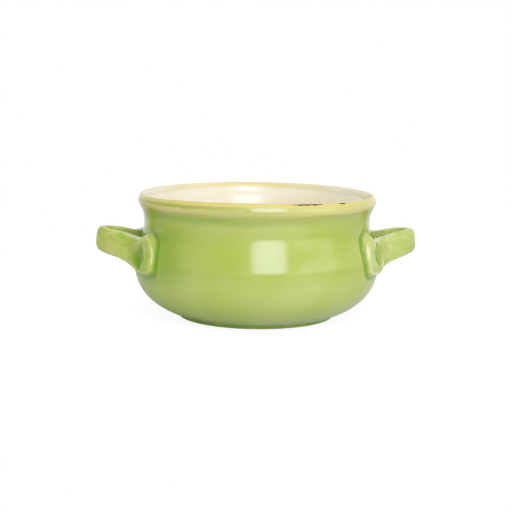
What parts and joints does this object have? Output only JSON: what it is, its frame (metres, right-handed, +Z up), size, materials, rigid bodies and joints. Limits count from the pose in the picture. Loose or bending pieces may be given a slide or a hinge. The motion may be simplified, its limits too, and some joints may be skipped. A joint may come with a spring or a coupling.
{
  "type": "handled round baker",
  "caption": "Round stoneware baker with a flared lip, bellied wall, turned foot ring and looped strap handles; green glaze outside, cream inside, straw band on the lip.",
  "frame": {"origin": "centre of the foot ring, on the plane that it stands on", "axes": "+Z up along the bowl's turning axis, +X through the middle of both handles, -Y towards the picture's viewer"},
  "size_m": [0.2054, 0.1568, 0.0803],
  "materials": {
    "green_glaze": "glossy translucent leaf-green glaze, darker where it pools",
    "straw_glaze": "glossy straw-yellow band where the green glaze breaks over the lip",
    "cream_glaze": "glossy cream liner glaze",
    "fired_clay": "bare fired stoneware, matte",
    "fired_slip": "fired joining slip, matte"
  },
  "bodies": {
    "root": {"bowl_body": "fired_clay", "outer_glaze": "green_glaze", "rim_glaze": "straw_glaze", "inner_glaze": "cream_glaze", "right_handle": "green_glaze", "left_handle": "green_glaze", "right_front_luting": "fired_slip", "right_back_luting": "fired_slip", "left_front_luting": "fired_slip", "left_back_luting": "fired_slip"}
  },
  "joints": []
}
